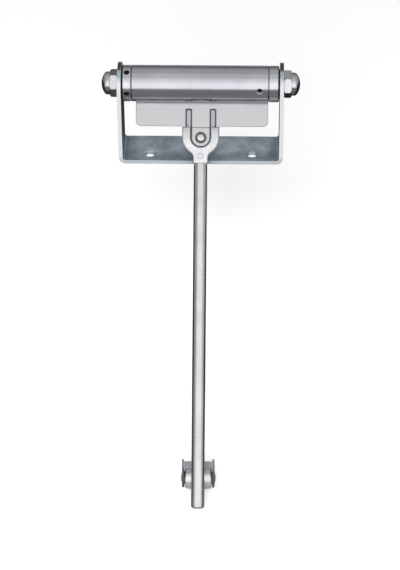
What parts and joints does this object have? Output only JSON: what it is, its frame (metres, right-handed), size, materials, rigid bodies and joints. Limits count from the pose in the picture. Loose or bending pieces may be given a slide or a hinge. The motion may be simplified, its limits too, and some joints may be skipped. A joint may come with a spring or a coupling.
{
  "type": "spring door closer with roller arm",
  "caption": "Torsion-spring door closer: a barrel turning in a U bracket carries a long round arm with a roller that presses a door shut.",
  "frame": {"origin": "centre of the bracket's mounting face", "axes": "+Z away from the mounting face towards the barrel, X along the barrel, -Y over the edge the arm comes out at"},
  "size_m": [0.1474, 0.1951, 0.2821],
  "materials": {
    "zinc_sheet": "blue passivated zinc on bent sheet steel",
    "bright_plate": "bright plated steel tube and rings",
    "head_casting": "cast steel, bright zinc plated",
    "drawn_rod": "bright drawn and plated round steel",
    "nut_plate": "nickel plated turned steel",
    "fastener_steel": "zinc plated fasteners",
    "spring_wire": "oiled spring steel wire",
    "bearing_bronze": "sintered bronze bearing",
    "roller_steel": "turned and plated steel roller"
  },
  "bodies": {
    "bracket": {"mounting_bracket": "zinc_sheet", "spindle": "fastener_steel", "left_cap_nut": "nut_plate", "right_cap_nut": "nut_plate", "collar_washer": "fastener_steel", "thrust_washer": "bearing_bronze"},
    "tension_ring": {"tension_collar": "bright_plate", "torsion_spring": "spring_wire"},
    "roller": {"door_roller": "roller_steel", "roller_bush": "bearing_bronze"},
    "swing_arm": {"barrel_shell": "bright_plate", "barrel_end_plug": "bright_plate", "plug_bush": "bearing_bronze", "arm_head": "head_casting", "clamp_bolt": "fastener_steel", "clamp_washer": "fastener_steel", "clamp_nut": "fastener_steel", "arm_rod": "drawn_rod", "rod_lock_pin": "fastener_steel", "roller_yoke": "zinc_sheet", "yoke_screw": "fastener_steel", "roller_axle": "fastener_steel", "axle_washers": "fastener_steel"}
  },
  "joints": [
    {"name": "arm_swing", "type": "hinge", "parent": "bracket", "child": "swing_arm", "pos_m": [0, 0, 0.06], "axis": [-1, 0, 0], "range_deg": [0, 150], "stiffness_Nm_per_rad": 1.2, "springref_deg": -57.3, "deforming": ["torsion_spring"]},
    {"name": "tension_turn", "type": "hinge", "parent": "bracket", "child": "tension_ring", "pos_m": [0, 0, 0.06], "axis": [1, 0, 0], "range_deg": [0, 288], "deforming": ["torsion_spring"]},
    {"name": "roller_spin", "type": "hinge", "parent": "swing_arm", "child": "roller", "pos_m": [0, -0.14905, -0.19723], "axis": [1, 0, 0], "continuous": true}
  ]
}
